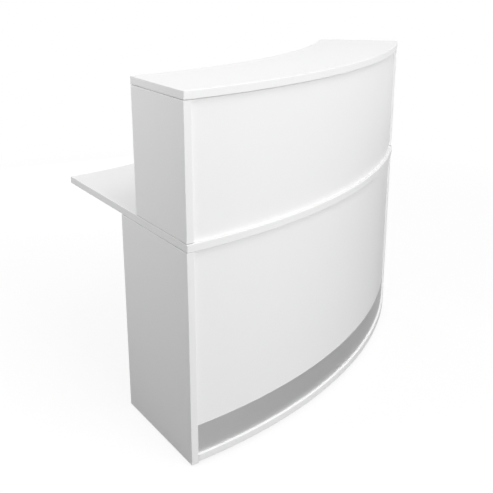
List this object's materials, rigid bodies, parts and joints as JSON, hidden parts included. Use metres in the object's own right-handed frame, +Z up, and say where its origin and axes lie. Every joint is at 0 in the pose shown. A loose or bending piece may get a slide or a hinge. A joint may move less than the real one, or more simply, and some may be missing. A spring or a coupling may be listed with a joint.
{
  "type": "curved reception desk",
  "caption": "Curved white reception desk with a bent front, a raised counter for visitors above a deep worktop, a metal kick plate and levelling feet.",
  "frame": {"origin": "on the floor, below the middle of the bounding box", "axes": "+X along the desk to the right as visitors see it, +Y towards the receptionist, +Z up"},
  "size_m": [1.4428, 0.938, 1.18],
  "materials": {
    "white_board": "satin white melamine with banded edges",
    "front_laminate": "satin white laminate on a bent panel",
    "kick_aluminium": "satin",
    "glide_plastic": "matte",
    "zinc_bush": "zinc plated",
    "cam_zinc": "nickel plated",
    "bolt_steel": "zinc plated"
  },
  "bodies": {
    "desk": {"base_board": "white_board", "base_left_bolt": "bolt_steel", "base_left_cam": "cam_zinc", "base_right_bolt": "bolt_steel", "base_right_cam": "cam_zinc", "centre_foot_bush": "zinc_bush", "counter_front_left_bolt": "bolt_steel", "counter_front_left_cam": "cam_zinc", "counter_front_right_bolt": "bolt_steel", "counter_front_right_cam": "cam_zinc", "counter_rear_left_bolt": "bolt_steel", "counter_rear_left_cam": "cam_zinc", "counter_rear_right_bolt": "bolt_steel", "counter_rear_right_cam": "cam_zinc", "counter_top": "white_board", "divider_foot_bolt": "bolt_steel", "divider_foot_cam": "cam_zinc", "divider_head_bolt": "bolt_steel", "divider_head_cam": "cam_zinc", "front_left_foot_bush": "zinc_bush", "front_right_foot_bush": "zinc_bush", "kick_plate": "kick_aluminium", "lower_centre_rib": "white_board", "lower_front_panel": "front_laminate", "lower_side_panel_left": "white_board", "lower_side_panel_right": "white_board", "rear_left_foot_bush": "zinc_bush", "rear_right_foot_bush": "zinc_bush", "rib_foot_bolt": "bolt_steel", "rib_foot_cam": "cam_zinc", "rib_head_bolt": "bolt_steel", "rib_head_cam": "cam_zinc", "riser_front_left_bolt": "bolt_steel", "riser_front_left_cam": "cam_zinc", "riser_front_right_bolt": "bolt_steel", "riser_front_right_cam": "cam_zinc", "riser_rear_left_bolt": "bolt_steel", "riser_rear_left_cam": "cam_zinc", "riser_rear_right_bolt": "bolt_steel", "riser_rear_right_cam": "cam_zinc", "upper_centre_divider": "white_board", "upper_front_panel": "front_laminate", "upper_side_panel_left": "white_board", "upper_side_panel_right": "white_board", "worktop": "white_board", "worktop_front_left_bolt": "bolt_steel", "worktop_front_left_cam": "cam_zinc", "worktop_front_right_bolt": "bolt_steel", "worktop_front_right_cam": "cam_zinc", "worktop_rear_left_bolt": "bolt_steel", "worktop_rear_left_cam": "cam_zinc", "worktop_rear_right_bolt": "bolt_steel", "worktop_rear_right_cam": "cam_zinc"},
    "centre_foot": {"centre_foot": "glide_plastic"},
    "front_left_foot": {"front_left_foot": "glide_plastic"},
    "front_right_foot": {"front_right_foot": "glide_plastic"},
    "rear_left_foot": {"rear_left_foot": "glide_plastic"},
    "rear_right_foot": {"rear_right_foot": "glide_plastic"}
  },
  "joints": [
    {"name": "centre_foot_travel", "type": "slide", "parent": "desk", "child": "centre_foot", "axis": [0, 0, -1], "range_m": [0, 0.01]},
    {"name": "front_left_foot_travel", "type": "slide", "parent": "desk", "child": "front_left_foot", "axis": [0, 0, -1], "range_m": [0, 0.01]},
    {"name": "front_right_foot_travel", "type": "slide", "parent": "desk", "child": "front_right_foot", "axis": [0, 0, -1], "range_m": [0, 0.01]},
    {"name": "rear_left_foot_travel", "type": "slide", "parent": "desk", "child": "rear_left_foot", "axis": [0, 0, -1], "range_m": [0, 0.01]},
    {"name": "rear_right_foot_travel", "type": "slide", "parent": "desk", "child": "rear_right_foot", "axis": [0, 0, -1], "range_m": [0, 0.01]}
  ]
}
